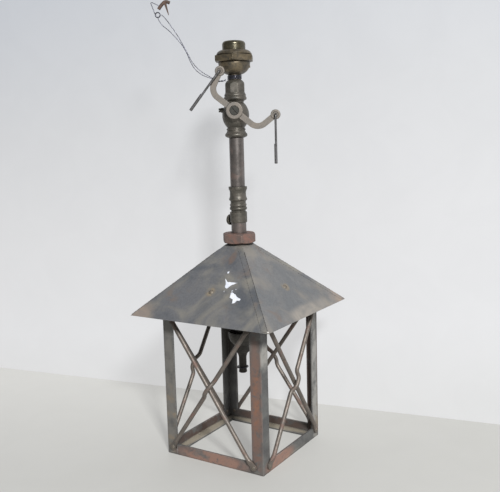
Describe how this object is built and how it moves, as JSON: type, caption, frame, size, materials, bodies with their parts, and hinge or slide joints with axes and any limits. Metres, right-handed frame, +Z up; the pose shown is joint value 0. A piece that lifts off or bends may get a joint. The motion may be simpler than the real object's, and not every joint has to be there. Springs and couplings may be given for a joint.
{
  "type": "gas hall lantern",
  "caption": "Square braced steel cage under an overhanging pyramid sheet roof, hung on a gas pipe stem with a lever cock, pull rods, needle regulator and threaded union.",
  "frame": {"origin": "centre of the square foot, on the surface that the lantern stands on", "axes": "+Z up along the stem, -Y out of the front side, +X out of the right side of the square cage"},
  "size_m": [0.2336, 0.2336, 0.6695],
  "materials": {
    "angle_steel": "blue-grey mill scale with terracotta rust",
    "brace_steel": "bare drawn bar, browned",
    "roof_sheet": "dull blue-grey sheet with tan stains",
    "fastener_steel": "dull, browned",
    "rusty_iron": "rust red",
    "pipe_steel": "dark browned pipe",
    "aged_brass": "dark olive patina",
    "worn_brass": "patina rubbed bright on the edges",
    "lever_metal": "warm grey, handled",
    "rod_steel": "dark, dull",
    "black_brass": "blackened by heat",
    "fireclay": "sooted, matt",
    "washer_leather": "dark, oiled",
    "binding_iron": "dark annealed wire"
  },
  "bodies": {
    "lantern": {"post_front_left": "angle_steel", "base_rail_front": "angle_steel", "top_rail_front": "angle_steel", "brace_front_straight": "brace_steel", "brace_front_joggled": "brace_steel", "roof_panel_front": "roof_sheet", "post_front_right": "angle_steel", "base_rail_right": "angle_steel", "top_rail_right": "angle_steel", "brace_right_straight": "brace_steel", "brace_right_joggled": "brace_steel", "roof_panel_right": "roof_sheet", "post_back_right": "angle_steel", "base_rail_back": "angle_steel", "top_rail_back": "angle_steel", "brace_back_straight": "brace_steel", "brace_back_joggled": "brace_steel", "roof_panel_back": "roof_sheet", "post_back_left": "angle_steel", "base_rail_left": "angle_steel", "top_rail_left": "angle_steel", "brace_left_straight": "brace_steel", "brace_left_joggled": "brace_steel", "roof_panel_left": "roof_sheet", "rivets": "fastener_steel", "roof_tabs": "fastener_steel", "tab_screws": "fastener_steel", "apex_boss": "rusty_iron", "seal_washer": "washer_leather", "backnut": "rusty_iron", "inner_locknut": "rusty_iron", "lower_tube": "pipe_steel", "regulator_body": "aged_brass", "lower_coupling": "aged_brass", "stem_pipe": "pipe_steel", "cock_body": "aged_brass", "bypass_screw": "aged_brass", "stop_pin": "fastener_steel", "inlet_adapter": "aged_brass", "union_cup": "aged_brass", "union_washer": "washer_leather", "union_nut": "aged_brass", "union_collar": "worn_brass", "injector": "black_brass", "mixing_tube": "black_brass", "deflector_bowl": "black_brass", "clamp_screw": "black_brass", "burner_nozzle": "fireclay", "mantle_ring": "binding_iron", "binding_wire": "binding_iron", "hanging_hook": "rusty_iron"},
    "lever": {"cock_lever": "lever_metal", "lever_screw": "fastener_steel", "cock_plug": "worn_brass", "plug_washer": "worn_brass", "plug_nut": "worn_brass"},
    "left_rod": {"pull_rod_left": "rod_steel"},
    "right_rod": {"pull_rod_right": "rod_steel"},
    "regulator": {"regulator_knob": "aged_brass"},
    "shutter": {"air_shutter": "black_brass"}
  },
  "joints": [
    {"name": "lever_turn", "type": "hinge", "parent": "lantern", "child": "lever", "pos_m": [0.01125, -0.02029, 0.5055], "axis": [0.4848, -0.8746, 0], "range_deg": [0, 78]},
    {"name": "left_rod_swing", "type": "hinge", "parent": "lever", "child": "left_rod", "pos_m": [-0.00529, -0.02946, 0.56096], "axis": [0.4848, -0.8746, 0], "range_deg": [-60, 39]},
    {"name": "right_rod_swing", "type": "hinge", "parent": "lever", "child": "right_rod", "pos_m": [0.06213, 0.00792, 0.49853], "axis": [0.4848, -0.8746, 0], "range_deg": [-79, 21]},
    {"name": "regulator_turn", "type": "hinge", "parent": "lantern", "child": "regulator", "pos_m": [-0.01551, 0.00301, 0.3468], "axis": [-0.9816, 0.1908, 0], "range_deg": [0, 270]},
    {"name": "shutter_turn", "type": "hinge", "parent": "lantern", "child": "shutter", "pos_m": [0, 0, 0.214], "axis": [0, 0, 1], "range_deg": [0, 45]}
  ]
}
